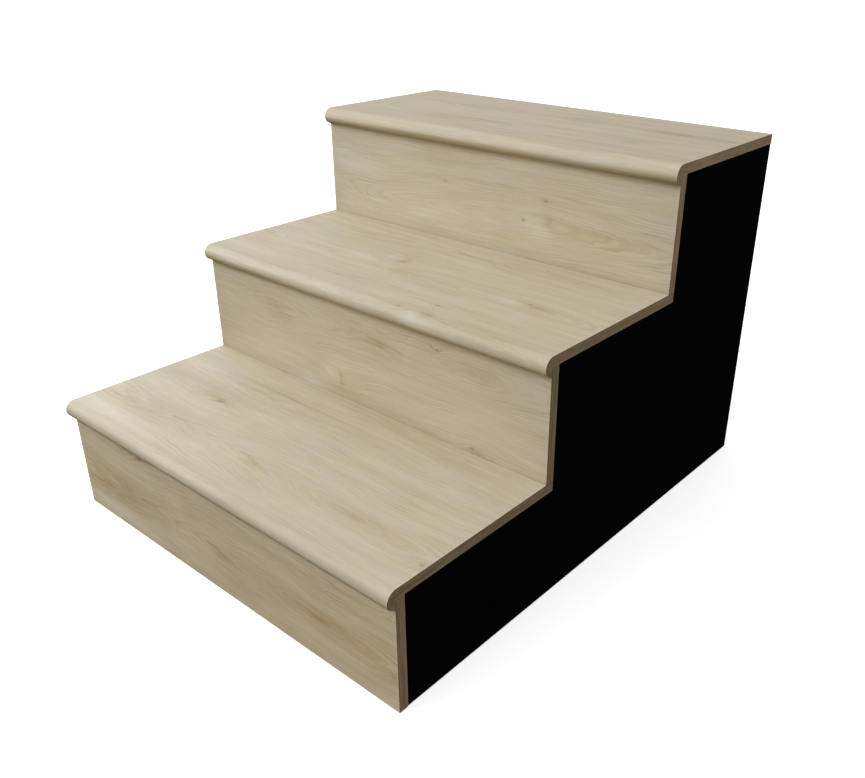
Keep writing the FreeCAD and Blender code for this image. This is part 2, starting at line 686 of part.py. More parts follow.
def fit_back_panel():
    """The back panel's countersunk screws, into the rear rails and the rear battens."""
    columns = along(f"-{INNER_FACE}", INNER_FACE, cell("row_screw_inset"), 4)
    targets = [fit_rear_batten(side) for side in SIDES]
    for label in ("rear_base_rail", "rear_top_rail"):
        middle_z = f"({rails[label][1]} + {RAIL_HEIGHT} / 2)"
        targets.append((rail_pieces[label], [at(x, BLOCK_BACK, middle_z) for x in columns]))
    for piece, places in targets:
        back_panel_screws.bite(places, "y", -1, BACK_BOARD, piece)
        back_panel_screws.put(places, "y", -1)
    every_place = [spot for _, places in targets for spot in places]
    back_panel.countersink("y", every_place, BACK_BOARD)


def fit_front_rail():
    """Screws from the front base rail forward into the lowest riser."""
    columns = along(f"-{HALF_WIDTH}", HALF_WIDTH, cell("row_screw_inset"), 4)
    spots = [at(x, BASE_RAIL_BACK, f"({BODY_FLOOR} + {RAIL_HEIGHT} / 2)") for x in columns]
    rail_screws.join(spots, "y", -1, RAIL, rail_pieces["front_base_rail"], risers[0])


def fit_rail_dowels():
    """Two dowels at each end of every rail, into the side panels."""
    inset, in_panel = cell("dowel_edge_inset"), cell("dowel_in_panel")
    in_rail = f"({cell('dowel_length')} - {in_panel})"
    for label, (front, bottom) in rails.items():
        heights = along(bottom, f"({bottom} + {RAIL_HEIGHT})", inset, 2)
        for side, outward in (("left", -1), ("right", 1)):
            face = f"({outward} * {INNER_FACE})"
            ends = [at(face, f"({front} + {RAIL} / 2)", z) for z in heights]
            halves = ((rail_pieces[label], in_rail, -outward), (sides[side], in_panel, outward))
            for piece, depth, way in halves:
                level = span(piece.corner["x"], face)
                piece.drill("x", ends, cell("dowel_radius"), depth, level, way)
            inner = f"({face} - {outward} * {in_rail})"
            rail_dowels.put([{**end, "x": inner} for end in ends], "x", outward)


def fit_riser_dowels():
    """Upright dowels between a riser's foot and the tread that it stands on."""
    half = f"({cell('pin_length')} / 2)"
    for step in range(1, STEP_COUNT):
        middle_y = f"({riser_face(step)} + {BOARD} / 2)"
        joint = tread_top(step - 1)
        columns = along(f"-{HALF_WIDTH}", HALF_WIDTH, cell("pin_inset"), 4)
        pins = [at(x, middle_y, f"({joint} - {half})") for x in columns]
        risers[step].drill("z", pins, cell("pin_radius"), half)
        treads[step - 1].drill("z", pins, cell("pin_radius"), half, BOARD, -1)
        riser_dowels.put(pins, "z", 1)


for side in (*SIDES, "centre"):
    for step in range(STEP_COUNT):
        fit_cleat(side, step)
    fit_base_batten(side)
for side in SIDES:
    for step in range(STEP_COUNT):
        fit_riser_batten(side, step)
fit_back_panel()
fit_front_rail()
fit_rail_dowels()
fit_riser_dowels()
doc.recompute()

# ---------------------------------------------------------------- eased edges

width, board, panel = number(WIDTH), number(BOARD), number(PANEL)

for tread in treads:
    tread.ease(lambda edge: lies_on(edge, "x", 0, width) and lies_on(edge, "z", board))
crown, heel = number(DROP), number(HEEL)
for nosing in nosings:
    nosing.ease(lambda edge: lies_on(edge, "y", 0) and lies_on(edge, "z", heel), "nosing_heel_radius")
doc.recompute()
for nosing in nosings:
    nosing.ease(
        lambda edge: lies_on(edge, "x", 0, width)
        and (edge.Curve.TypeId == "Part::GeomCircle" or lies_on(edge, "z", crown))
    )
for riser in risers:
    riser.ease(lambda edge: lies_on(edge, "x", 0, width) and lies_on(edge, "y", 0))
for side, outer in (("left", 0), ("right", panel)):
    sides[side].ease(lambda edge: lies_on(edge, "x", outer) and edge.Curve.TypeId == "Part::GeomLine")

doc.recompute()

fastener_groups = [
    tread_screws, cleat_screws, riser_screws, batten_screws, rail_screws,
    base_screws, foot_screws, back_panel_screws, rail_dowels, riser_dowels,
]
group_features = [group.build() for group in fastener_groups]
doc.recompute()

# ---------------------------------------------------------------- checks and export

for feature in doc.Objects:
    if "Invalid" in feature.State or "Error" in feature.State:
        raise RuntimeError(f"{feature.Label} failed: {feature.State}")
    if feature.isDerivedFrom("PartDesign::Pocket") or feature.isDerivedFrom("PartDesign::Hole"):
        if feature.Shape.Volume > feature.BaseFeature.Shape.Volume - 1:
            raise RuntimeError(f"{feature.Label} cuts nothing")

bodies = [body for body in doc.findObjects("PartDesign::Body") if not body.Label.startswith("pattern_")]
sub_parts = bodies + group_features
os.makedirs("parts", exist_ok=True)
for part in sub_parts:
    if part.Shape.isNull() or not part.Shape.isValid():
        raise RuntimeError(f"{part.Label} has no valid shape")
for part in sub_parts:
    part.Shape.exportStep(f"parts/{part.Label}.step")
print(len(sub_parts), "sub-parts")
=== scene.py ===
"""Looks of the three-step mounting block: oak-faced steps, painted carcass, bare timber inside.

Metres, in the block's own frame: +Z up, the rider climbs towards +Y, +X is the rider's right.
"""

import math

import bpy
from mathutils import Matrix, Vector


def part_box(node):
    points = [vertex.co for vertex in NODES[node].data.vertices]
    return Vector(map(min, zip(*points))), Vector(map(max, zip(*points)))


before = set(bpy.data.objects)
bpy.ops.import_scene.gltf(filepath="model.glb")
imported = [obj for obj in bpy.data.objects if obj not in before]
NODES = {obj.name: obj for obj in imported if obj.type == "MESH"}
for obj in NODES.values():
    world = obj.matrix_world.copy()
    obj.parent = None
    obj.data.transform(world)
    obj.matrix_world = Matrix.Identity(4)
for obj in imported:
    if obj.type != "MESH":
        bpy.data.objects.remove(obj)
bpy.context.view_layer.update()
STEPS = ("lower", "middle", "upper")
STEP_ABOVE = {"lower": "middle", "middle": "upper"}
STEP_BELOW = {"middle": "lower", "upper": "middle"}

MM = 0.001
GRAIN_AXES = {"x": 0, "y": 1, "z": 2}


# ---------------------------------------------------------------- node graphs


def linear(red, green, blue):
    """Linear colour from the sRGB values, 0 to 255, that a paint chart gives."""

    def channel(value):
        share = value / 255
        return share / 12.92 if share <= 0.04045 else ((share + 0.055) / 1.055) ** 2.4

    return (channel(red), channel(green), channel(blue), 1)


class Graph:
    """A material's nodes, built by calls that take and return sockets or plain values."""

    def __init__(self, name):
        self.material = bpy.data.materials.new(name)
        self.material.use_nodes = True
        self.tree = self.material.node_tree
        self.tree.nodes.clear()

    def node(self, kind, **settings):
        node = self.tree.nodes.new(kind)
        for name, value in settings.items():
            setattr(node, name, value)
        return node

    def feed(self, socket, value):
        if isinstance(value, bpy.types.NodeSocket):
            self.tree.links.new(value, socket)
        else:
            socket.default_value = value

    def math(self, operation, *values, clamp=False):
        node = self.node("ShaderNodeMath", operation=operation, use_clamp=clamp)
        for socket, value in zip(node.inputs, values):
            self.feed(socket, value)
        return node.outputs[0]

    def add(self, a, b):
        return self.math("ADD", a, b)

    def subtract(self, a, b):
        return self.math("SUBTRACT", a, b)

    def times(self, a, b):
        return self.math("MULTIPLY", a, b)

    def total(self, *values):
        result = values[0]
        for value in values[1:]:
            result = self.add(result, value)
        return result

    def length(self, a, b):
        """Hypotenuse of two lengths."""
        return self.math("SQRT", self.add(self.times(a, a), self.times(b, b)))

    def spread(self, value, low, high, out_low=0.0, out_high=1.0, smooth=True):
        """Maps low..high to out_low..out_high, held at both ends."""
        node = self.node("ShaderNodeMapRange")
        node.interpolation_type = "SMOOTHSTEP" if smooth else "LINEAR"
        for name, number in (("Value", value), ("From Min", low), ("From Max", high)):
            self.feed(node.inputs[name], number)
        self.feed(node.inputs["To Min"], out_low)
        self.feed(node.inputs["To Max"], out_high)
        return node.outputs["Result"]

    def vector(self, x, y, z=0.0):
        node = self.node("ShaderNodeCombineXYZ")
        for socket, value in zip(node.inputs, (x, y, z)):
            self.feed(socket, value)
        return node.outputs[0]

    def split(self, vector):
        node = self.node("ShaderNodeSeparateXYZ")
        self.feed(node.inputs[0], vector)
        return tuple(node.outputs)

    def position(self):
        """Place in the block's frame: the object's own coordinates, because its origin is the frame's."""
        return self.split(self.node("ShaderNodeTexCoord").outputs["Object"])

    def normal(self):
        return self.split(self.node("ShaderNodeTexCoord").outputs["Normal"])

    def piece_number(self):
        """A number from 0 to 1 that differs from piece to piece."""
        return self.node("ShaderNodeObjectInfo").outputs["Random"]

    def noise(self, u, v, length, width, w=0.0, detail=2.0, roughness=0.5, distortion=0.0):
        """Signed noise, about -1 to 1, whose blobs are length by width metres along u and v."""
        node = self.node("ShaderNodeTexNoise")
        place = self.vector(self.times(u, 1 / length), self.times(v, 1 / width), w)
        self.feed(node.inputs["Vector"], place)
        node.inputs["Scale"].default_value = 1
        node.inputs["Detail"].default_value = detail
        node.inputs["Roughness"].default_value = roughness
        node.inputs["Distortion"].default_value = distortion
        return self.math("MULTIPLY_ADD", node.outputs["Fac"], 4.0, -2.0)

    def noise3(self, vector, scale, detail=2.0, roughness=0.5):
        """Signed noise in space."""
        node = self.node("ShaderNodeTexNoise")
        self.feed(node.inputs["Vector"], vector)
        node.inputs["Scale"].default_value = scale
        node.inputs["Detail"].default_value = detail
        node.inputs["Roughness"].default_value = roughness
        return self.math("MULTIPLY_ADD", node.outputs["Fac"], 4.0, -2.0)

    def mix(self, share, a, b, blend="MIX"):
        """Blend of two colours."""
        node = self.node("ShaderNodeMix", data_type="RGBA", blend_type=blend)
        for name, value in (("Factor_Float", share), ("A_Color", a), ("B_Color", b)):
            self.feed(next(s for s in node.inputs if s.identifier == name), value)
        return next(s for s in node.outputs if s.identifier == "Result_Color")

    def mix_value(self, share, a, b):
        """Blend of two numbers."""
        return self.add(self.times(a, self.subtract(1.0, share)), self.times(b, share))

    def brightness(self, colour, factor):
        """Colour times a grey factor."""
        node = self.node("ShaderNodeVectorMath", operation="SCALE")
        self.feed(node.inputs[0], colour)
        self.feed(node.inputs["Scale"], factor)
        return node.outputs[0]

    def curve(self, value, points, low, high):
        """Smooth function through (place, height) points, for places from low to high."""
        node = self.node("ShaderNodeFloatCurve")
        curve = node.mapping.curves[0]
        span = high - low
        wanted = [((place - low) / span, height) for place, height in points]
        while len(curve.points) < len(wanted):
            curve.points.new(0.5, 0.5)
        for point, place in zip(curve.points, wanted):
            point.location = place
            point.handle_type = "AUTO"
        node.mapping.update()
        self.feed(node.inputs["Value"], self.spread(value, low, high, smooth=False))
        return node.outputs[0]

    def bell(self, place, centre, size):
        """Soft ellipse on the u-v plane, in millimetres: 1 in its middle and 0.37 at its half sizes."""
        scaled = self.node("ShaderNodeVectorMath", operation="MULTIPLY_ADD")
        squared = self.node("ShaderNodeVectorMath", operation="DOT_PRODUCT")
        self.feed(scaled.inputs[0], place)
        scaled.inputs[1].default_value = (1 / (size[0] * MM), 1 / (size[1] * MM), 0)
        scaled.inputs[2].default_value = (-centre[0] / size[0], -centre[1] / size[1], 0)
        self.feed(squared.inputs[0], scaled.outputs[0])
        self.feed(squared.inputs[1], scaled.outputs[0])
        return self.math("POWER", math.exp(-1), squared.outputs["Value"])

    def ramp(self, value, stops):
        """Colour along evenly blended (place, colour) stops."""
        node = self.node("ShaderNodeValToRGB")
        elements = node.color_ramp.elements
        while len(elements) < len(stops):
            elements.new(0.5)
        for element, (place, colour) in zip(elements, stops):
            element.position = place
            element.color = colour
        self.feed(node.inputs[0], value)
        return node.outputs[0]

    def shader(self, colour, roughness, height=None, bump=1.0, metallic=0.0, specular=0.5):
        """Principled shader; height is the relief in metres."""
        node = self.node("ShaderNodeBsdfPrincipled")
        self.feed(node.inputs["Base Color"], colour)
        self.feed(node.inputs["Roughness"], roughness)
        node.inputs["Metallic"].default_value = metallic
        node.inputs["Specular IOR Level"].default_value = specular
        if height is not None:
            relief = self.node("ShaderNodeBump")
            relief.inputs["Strength"].default_value = bump
            relief.inputs["Distance"].default_value = 1
            self.feed(relief.inputs["Height"], height)
            self.tree.links.new(relief.outputs[0], node.inputs["Normal"])
        return node

    def finish(self, shader):
        output = self.node("ShaderNodeOutputMaterial")
        self.tree.links.new(shader.outputs[0], output.inputs["Surface"])
        return self.material


def dress(name, material):
    """Gives a CAD node its material."""
    piece = NODES[name]
    if not piece.material_slots:
        piece.data.materials.append(material)
    for slot in piece.material_slots:
        slot.material = material


# ---------------------------------------------------------------- oak boards

OAK_WHITE = linear(202, 196, 180)
OAK_TAN = linear(181, 167, 140)
OAK_BROWN = linear(147, 121, 80)
OAK_KNOT = linear(132, 99, 58)
TINT_COOL = (0.975, 1.0, 1.065, 1)
TINT_WARM = (1.015, 1.0, 0.94, 1)
# Painted shade: a warm darkening multiplied into the oak under each nosing, on its underside and on the
# top of the riser below it.
OAK_SHADE_UNDER_NOSING = (0.85, 0.765, 0.60, 1)
# How far that painted shade reaches down the riser from the nosing's lip.
RISER_TOP_SHADE = 12 * MM
# Painted shade in the corner where a riser meets the tread below: its reach up the riser and back along
# the tread.
RISER_FOOT_SHADE = 22 * MM
TREAD_REAR_SHADE = 4 * MM
# Reach of a slight brightening on a tread in front of the riser above.
REAR_LIFT_REACH = 70 * MM
CORE_LIGHT = linear(168, 146, 112)
CORE_DARK = linear(110, 91, 61)
CORE_GREY = (0.95, 1.0, 1.06, 1)
CORE_RED = (1.06, 0.98, 0.95, 1)
RING_SPACING = 4.4 * MM
PORE_DEPTH = 0.04 * MM


class Plank:
    """The grain figure of one kind of board.

    Places are in millimetres, u along the board and v across it. A heart is a line along the board that
    the growth rings arch over; its depths, as (u, depth) points, tell how far under the face the log's
    centre lies, and the arches' tips point to where it is deepest. A stain is (u, v, half length, half
    width, tone), with tone above 0 for a browner place and below 0 for a whiter one; two whiter ones on
    the first plank are painted sheen. A knot is (u, v, radius, darkness). A swell is (u, v, half length,
    half width, shift): the grain bends sideways by the shift in its middle.
    """

    def __init__(self, seed, hearts, depths, stains_and_sheen, knots, swells):
        self.seed = seed
        self.hearts = hearts
        self.depths = depths
        self.stains_and_sheen = stains_and_sheen
        self.knots = knots
        self.swells = swells


FIRST_PLANK = Plank(
    seed=3.0,
    hearts=(-374, -232),
    depths=(
        [(-380, 34), (-200, 40), (-60, 30), (60, 20), (160, 8), (220, 3), (290, 8), (380, 20)],
        [(-380, 34), (-150, 24), (0, 12), (90, 8), (200, 20), (380, 28)],
    ),
    stains_and_sheen=[
        # Painted sheen: this whiter patch stands in for the satin reflection on the lowest tread's left
        # rear.
        (-300, -205, 110, 46, -0.17),
        (-110, -207, 130, 3.5, 0.22),
        (-177, -226, 62, 4, 0.15),
        (80, -160, 280, 22, 0.08),
        (-205, -283, 34, 9, 0.20),
        (-250, -325, 150, 20, -0.12),
        (40, -285, 140, 32, -0.08),
        (270, -376, 120, 22, 0.13),
        (240, -374, 34, 9, 0.12),
        (12, -381, 20, 7, 0.20),
        (-330, -386, 60, 9, 0.20),
        # Painted sheen: a pale streak at the lowest tread's left front, whitened for the satin reflection
        # there.
        (-310, -426, 110, 13, -0.30),
        (60, -430, 240, 12, -0.08),
        (330, -250, 90, 12, -0.10),
    ],
    knots=[(-187, -290, 5.5, 0.6), (-109, -270, 2.2, 0.3), (372, -395, 3.0, 0.6)],
    swells=[
        (60, -250, 130, 36, -20),
        (-215, -300, 70, 26, 12),
        (250, -345, 90, 34, 12),
        (-60, -400, 120, 24, -8),
    ],
)
SECOND_PLANK = Plank(
    seed=11.0,
    hearts=(-149, 112),
    depths=(
        [(-380, 40), (-240, 24), (-120, 13), (60, 4), (150, 9), (270, 17), (380, 26)],
        [(-380, 8), (-230, 5), (-90, 16), (40, 22), (200, 12), (380, 24)],
    ),
    stains_and_sheen=[
        (-195, 92, 38, 20, 0.14),
        (45, 105, 42, 7, 0.24),
        (-122, -14, 32, 12, -0.22),
        (-72, 18, 14, 10, -0.26),
        (-46, 16, 5, 18, 0.22),
        (-5, -28, 42, 18, 0.16),
        (213, -20, 24, 10, -0.20),
        (252, -20, 46, 12, 0.15),
        (-310, -112, 95, 20, -0.16),
        (133, -158, 20, 11, -0.26),
        (150, -142, 12, 9, 0.24),
        (270, -142, 100, 12, 0.16),
        (160, 60, 160, 30, -0.06),
    ],
    knots=[
        (140, -106, 2.2, 0.9),
        (96, -146, 2.0, 0.7),
        (-81, -107, 2.2, 0.5),
        (-43, 6, 4.0, 0.3),
        (242, -12, 2.2, 0.8),
        (173, 129, 2.2, 0.7),
    ],
    swells=[
        (-50, 10, 70, 36, 16),
        (140, -122, 60, 26, -10),
        (-235, 70, 90, 36, 12),
        (250, 20, 80, 30, -12),
        (-240, -130, 110, 40, 12),
    ],
)
SECOND_PLANK_AGAIN = Plank(
    seed=15.0,
    hearts=(-28, 112),
    depths=(
        [(-380, 26), (-200, 14), (-120, 6), (20, 18), (150, 8), (260, 5), (380, 18)],
        [(-380, 8), (-230, 5), (-90, 16), (40, 22), (200, 12), (380, 24)],
    ),
    stains_and_sheen=SECOND_PLANK.stains_and_sheen,
    knots=SECOND_PLANK.knots,
    swells=SECOND_PLANK.swells,
)
THIRD_PLANK = Plank(
    seed=23.0,
    hearts=(240, 356),
    depths=(
        [(-380, 14), (-150, 6), (100, 20), (380, 10)],
        [(-380, 22), (-180, 12), (60, 4), (200, 10), (380, 22)],
    ),
    stains_and_sheen=[
        (290, 353, 100, 14, 0.22),
        (90, 360, 66, 26, 0.16),
        (-50, 251, 40, 5, 0.20),
        (-160, 230, 30, 22, 0.14),
        (245, 246, 22, 14, 0.14),
        (-193, 361, 24, 8, 0.14),
        (-60, 300, 300, 30, -0.08),
    ],
    knots=[(51, 372, 3.0, 0.3)],
    swells=[(60, 350, 120, 40, -14), (-200, 300, 100, 36, 12), (230, 260, 90, 30, 10)],
)
HALF_LENGTH = 380 * MM


def ring_field(g, plank, u, v):
    """Distance from the log's centre, in metres: the rings are its contour lines."""
    first, second = (line * MM for line in plank.hearts)
    across = g.add(v, g.times(g.noise(u, 0.0, 0.30, 1, w=plank.seed), 5 * MM))
    nearest = g.math("PINGPONG", g.subtract(across, first), (second - first) / 2)
    depths = []
    for points in plank.depths:
        heights = [(along * MM, depth / 100) for along, depth in points]
        depths.append(g.times(g.curve(u, heights, -HALF_LENGTH, HALF_LENGTH), 100 * MM))
    middle = (first + second) / 2
    share = g.spread(across, middle - 10 * MM, middle + 10 * MM)
    depth = g.mix_value(share, depths[0], depths[1])
    sway = g.times(g.noise(u, v, 0.12, 0.030, w=plank.seed + 1, detail=3), 3.6 * MM)
    ripple = g.times(g.noise(u, v, 0.022, 0.010, w=plank.seed + 2, detail=2), 0.8 * MM)
    return g.total(g.length(nearest, depth), sway, ripple)


def bell_sum(g, place, bells):
    """Sum of soft ellipses, each (u, v, half length, half width, height)."""
    total = 0.0
    for along, across, half_length, half_width, height in bells:
        bell = g.bell(place, (along, across), (half_length, half_width))
        total = g.math("MULTIPLY_ADD", bell, height, total)
    return total


def knot_fields(g, plank, place):
    """How far the knots push the rings, how dark their middles are and how brown the wood round them."""
    push = middle = halo = 0.0
    for along, across, radius, darkness in plank.knots:
        near = g.bell(place, (along, across), (radius * 1.5, radius * 0.8))
        wide = g.bell(place, (along, across), (radius * 8, radius * 2.8))
        push = g.math("MULTIPLY_ADD", wide, radius * 2.4 * MM, push)
        middle = g.math("MULTIPLY_ADD", near, darkness, middle)
        halo = g.math("MULTIPLY_ADD", wide, darkness, halo)
    return push, middle, halo


def oak_face(g, plank, u, flat_v, tone, shade, calm=None, round_front_shade=0.0):
    """Satin oak: colour, roughness and relief of the face, with the grain along u.

    Where v is under calm, as on a nosing's round front, the rings fade, the streaks remain, and the
    nosing's own brightness takes over from shade, with painted shade dulling the top of the round and
    painted light paling it down its front.
    """
    seed = plank.seed
    place = g.vector(u, flat_v)
    v = g.math("MULTIPLY_ADD", bell_sum(g, place, plank.swells), MM, flat_v)
    drift_u = g.times(g.noise(u, v, 0.05, 0.02, w=seed + 9, detail=2), 9 * MM)
    drift_v = g.times(g.noise(u, v, 0.09, 0.03, w=seed + 10, detail=3), 3 * MM)
    drifted = g.vector(g.add(u, drift_u), g.add(flat_v, drift_v))
    push, knot, halo = knot_fields(g, plank, place)
    rings = g.add(ring_field(g, plank, u, v), push)

    phase = g.math("FRACT", g.times(rings, 1 / RING_SPACING))
    late = g.times(g.spread(phase, 0.25, 0.86), g.spread(phase, 0.88, 1.0, 1.0, 0.0))
    clarity = g.spread(g.noise(u, v, 0.10, 0.030, w=seed + 3, detail=2), -0.6, 0.9, 0.03, 0.20)
    clarity = g.math("MULTIPLY_ADD", halo, 0.12, clarity)
    if calm is not None:
        clarity = g.times(clarity, g.spread(flat_v, calm - 4 * MM, calm + 10 * MM, 0.30, 1.0))
        # Painted light and shade on the nosing's round: painted shade dulls the top of the round and
        # painted light makes it paler down its front.
        painted_front_light, painted_top_shade = round_front_shade + 0.05, round_front_shade - 0.03
        round_front_light_and_shade = g.spread(flat_v, calm - 26 * MM, calm - 6 * MM, painted_front_light, painted_top_shade)
        shade = g.mix_value(g.spread(flat_v, calm - 4 * MM, calm + 6 * MM), round_front_light_and_shade, shade)
    bands = g.noise(u, rings, 0.40, 0.019, w=seed + 4, detail=3, roughness=0.55)
    streaks = g.noise(u, rings, 0.08, 0.0040, w=seed + 5, detail=4, roughness=0.65)
    straight = g.noise(u, v, 0.15, 0.009, w=seed + 6, detail=4, roughness=0.65)
    lines = g.noise(u, rings, 0.036, 0.0022, w=seed + 15, detail=3, roughness=0.7)
    cloud = g.noise(u, v, 0.18, 0.05, w=seed + 8, detail=3)
    patches = g.noise(u, v, 0.11, 0.016, w=seed + 16, detail=2)
    fibres = g.noise(u, v, 0.040, 0.0010, w=seed + 7, detail=3, roughness=0.6)
    pores = g.spread(g.noise(u, v, 0.008, 0.0006, w=seed + 11, detail=1), 0.45, 1.2)
    pores = g.times(pores, g.spread(phase, 0.0, 0.6, 1.0, 0.2))
    pale = g.spread(g.noise(u, rings, 0.065, 0.0034, w=seed + 12, detail=3, roughness=0.6), 0.1, 1.2)
    pale = g.times(pale, g.spread(g.noise(u, v, 0.13, 0.030, w=seed + 13, detail=2), -0.4, 0.7))
    warmth = g.noise(u, rings, 0.14, 0.011, w=seed + 14, detail=4, roughness=0.6)

    stains_and_sheen = bell_sum(g, drifted, plank.stains_and_sheen)
    strength = g.math("MULTIPLY_ADD", streaks, 0.45, 1.0)
    figure = g.total(
        tone,
        g.times(stains_and_sheen, strength),
        g.times(bands, 0.110),
        g.times(streaks, 0.100),
        g.times(straight, 0.085),
        g.times(lines, 0.070),
        g.times(cloud, 0.045),
        g.times(halo, 0.10),
        g.times(pale, -0.24),
        g.times(g.add(late, -0.3), clarity),
    )
    colour = g.ramp(figure, [(0.0, OAK_WHITE), (0.5, OAK_TAN), (1.0, OAK_BROWN)])
    warm = g.total(g.times(warmth, 0.8), g.times(stains_and_sheen, 1.4), g.times(pale, -0.9), 0.15)
    tint = g.mix(g.spread(warm, -1.0, 1.0), TINT_COOL, TINT_WARM)
    colour = g.mix(1.0, colour, tint, blend="MULTIPLY")
    colour = g.mix(g.math("MINIMUM", knot, 0.7), colour, OAK_KNOT)
    # Painted highlight: a pale line along each end of the board, standing in for the light caught by its
    # edge.
    painted_edge_highlight = g.spread(g.math("ABSOLUTE", u), HALF_LENGTH - 2.4 * MM, HALF_LENGTH - 0.8 * MM, 0.0, 0.10)
    light = g.total(
        shade,
        painted_edge_highlight,
        g.times(patches, -0.018),
        g.times(bands, -0.012),
        g.times(straight, -0.010),
        g.times(fibres, 0.030),
        g.times(pores, -0.09),
    )
    colour = g.brightness(colour, light)

    roughness = g.total(0.44, g.times(late, 0.05), g.times(pores, 0.12), g.times(fibres, 0.02))
    relief = g.total(g.times(pores, -PORE_DEPTH), g.times(fibres, 0.005 * MM), g.times(late, 0.010 * MM))
    return colour, roughness, relief


def board_core(g, x, along, depth, seed):
    """Pressed brown core of a board, in streaks along the board at each depth under its face.

    It is darkest in the glue line under the oak and palest at the back of the board.
    """
    layers = g.noise(along, depth, 0.040, 0.0028, w=seed, detail=4, roughness=0.7)
    tone = g.noise(along, depth, 0.10, 0.006, w=seed + 1, detail=2)
    fleck = g.noise(along, g.add(depth, x), 0.005, 0.0009, w=seed + 2, detail=2)
    redness = g.noise(along, depth, 0.07, 0.0034, w=seed + 3, detail=3)
    rim = g.spread(depth, 0.5 * MM, 2.4 * MM, 0.60, 0.0)
    heel = g.spread(depth, 11 * MM, 16 * MM, 0.0, -0.22)
    share = g.total(0.50, g.times(layers, 0.42), g.times(tone, 0.22), g.times(fleck, 0.12), rim, heel)
    colour = g.mix(g.math("MAXIMUM", g.math("MINIMUM", share, 1.0), 0.0), CORE_LIGHT, CORE_DARK)
    tint = g.mix(g.spread(redness, -0.9, 0.9), CORE_GREY, CORE_RED)
    colour = g.mix(1.0, colour, tint, blend="MULTIPLY")
    roughness = g.math("MULTIPLY_ADD", fleck, 0.05, 0.72)
    relief = g.total(g.times(layers, 0.03 * MM), g.times(fleck, 0.03 * MM))
    return colour, roughness, relief


class Look:
    """How one board looks.

    The shift, in millimetres, moves the plank's figure across the board. Tone is how brown the oak is, and
    the shades are the brightness of the face, the core and, on a tread, the nosing, set partly as painted
    light and shade.
    """

    def __init__(self, plank, shift, tone, face, core, nosing=1.0):
        self.plank = plank
        self.shift = shift * MM
        self.tone = tone
        self.face = face
        self.core = core
        self.nosing = nosing


def faced_board(name, look, place, facing, corner, calm=None):
    """Board with an oak face and a brown core.

    Place gives v and depth, and facing tells where the oak is. Corner gives the painted shade under a
    nosing, and the brightness near the joint of a riser and the tread it stands on: painted shade in the
    joint and, on the tread, a slight brightening a little in front of the riser.
    """
    g = Graph(name)
    x, y, z = g.position()
    nx, ny, nz = g.normal()
    v, depth = place(g, y, z)
    face = oak_face(g, look.plank, x, v, look.tone, look.face, calm, look.nosing)
    # Painted shade under the nosing, and painted shade at the joint with a slight brightening on the
    # tread.
    shade_under_nosing, joint_shade_and_lift = corner(g, y, z, nz)
    oak_colour = g.brightness(g.mix(shade_under_nosing, face[0], OAK_SHADE_UNDER_NOSING, blend="MULTIPLY"), joint_shade_and_lift)
    core = board_core(g, x, v, depth, look.plank.seed)
    side = g.spread(g.math("ABSOLUTE", nx), 0.62, 0.72)
    oak = g.times(facing(g, y, z, ny, nz), g.subtract(1.0, side))
    # The core shade brightens the board's core, partly as painted light for its shaded ends.
    colour = g.mix(oak, g.brightness(core[0], look.core), oak_colour)
    roughness = g.mix_value(oak, core[1], face[1])
    relief = g.mix_value(oak, core[2], face[2])
    return g.finish(g.shader(colour, roughness, relief, bump=0.6, specular=0.8))


def tread_material(step, look):
    """Tread and nosing together, so that the grain runs on round the nosing."""
    low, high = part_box(f"nosing_{step}")
    riser_low, riser_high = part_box(f"riser_{step}")
    top, front = high.z, riser_low.y
    radius = top - riser_high.z
    centre_y, centre_z = low.y + radius, top - radius

    def place(g, y, z):
        back = g.subtract(centre_y, y)
        up = g.subtract(z, centre_z)
        turn = g.math("ARCTAN2", back, up)
        rounded = g.math("GREATER_THAN", back, 0.0)
        around = g.subtract(centre_y, g.times(turn, radius))
        v = g.mix_value(rounded, y, around)
        under_arc = g.subtract(radius, g.length(back, up))
        depth = g.mix_value(rounded, g.subtract(top, z), under_arc)
        return g.add(v, look.shift), depth

    def facing(g, y, z, ny, nz):
        lip = g.math("LESS_THAN", y, front + 0.05 * MM)
        return g.math("MAXIMUM", lip, g.spread(nz, 0.5, 0.7))

    def corner(g, y, z, nz):
        # Painted shade on the nosing's underside, where it faces down.
        shade_under_nosing = g.spread(nz, -0.70, 0.15, 1.0, 0.0)
        if step not in STEP_ABOVE:
            return shade_under_nosing, 1.0
        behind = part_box(f"riser_{STEP_ABOVE[step]}")[0].y
        # Painted shade on the tread's last few millimetres before the riser above.
        joint_shade = g.spread(y, behind - TREAD_REAR_SHADE, behind, 1.0, 0.90, smooth=False)
        # The tread grows up to 5 % brighter from 70 mm to 10 mm in front of the riser above.
        rear_lift = g.spread(y, behind - REAR_LIFT_REACH, behind - 10 * MM, 1.0, 1.05)
        return shade_under_nosing, g.times(joint_shade, rear_lift)

    return faced_board(f"oak_tread_{step}", look, place, facing, corner, calm=centre_y + look.shift)


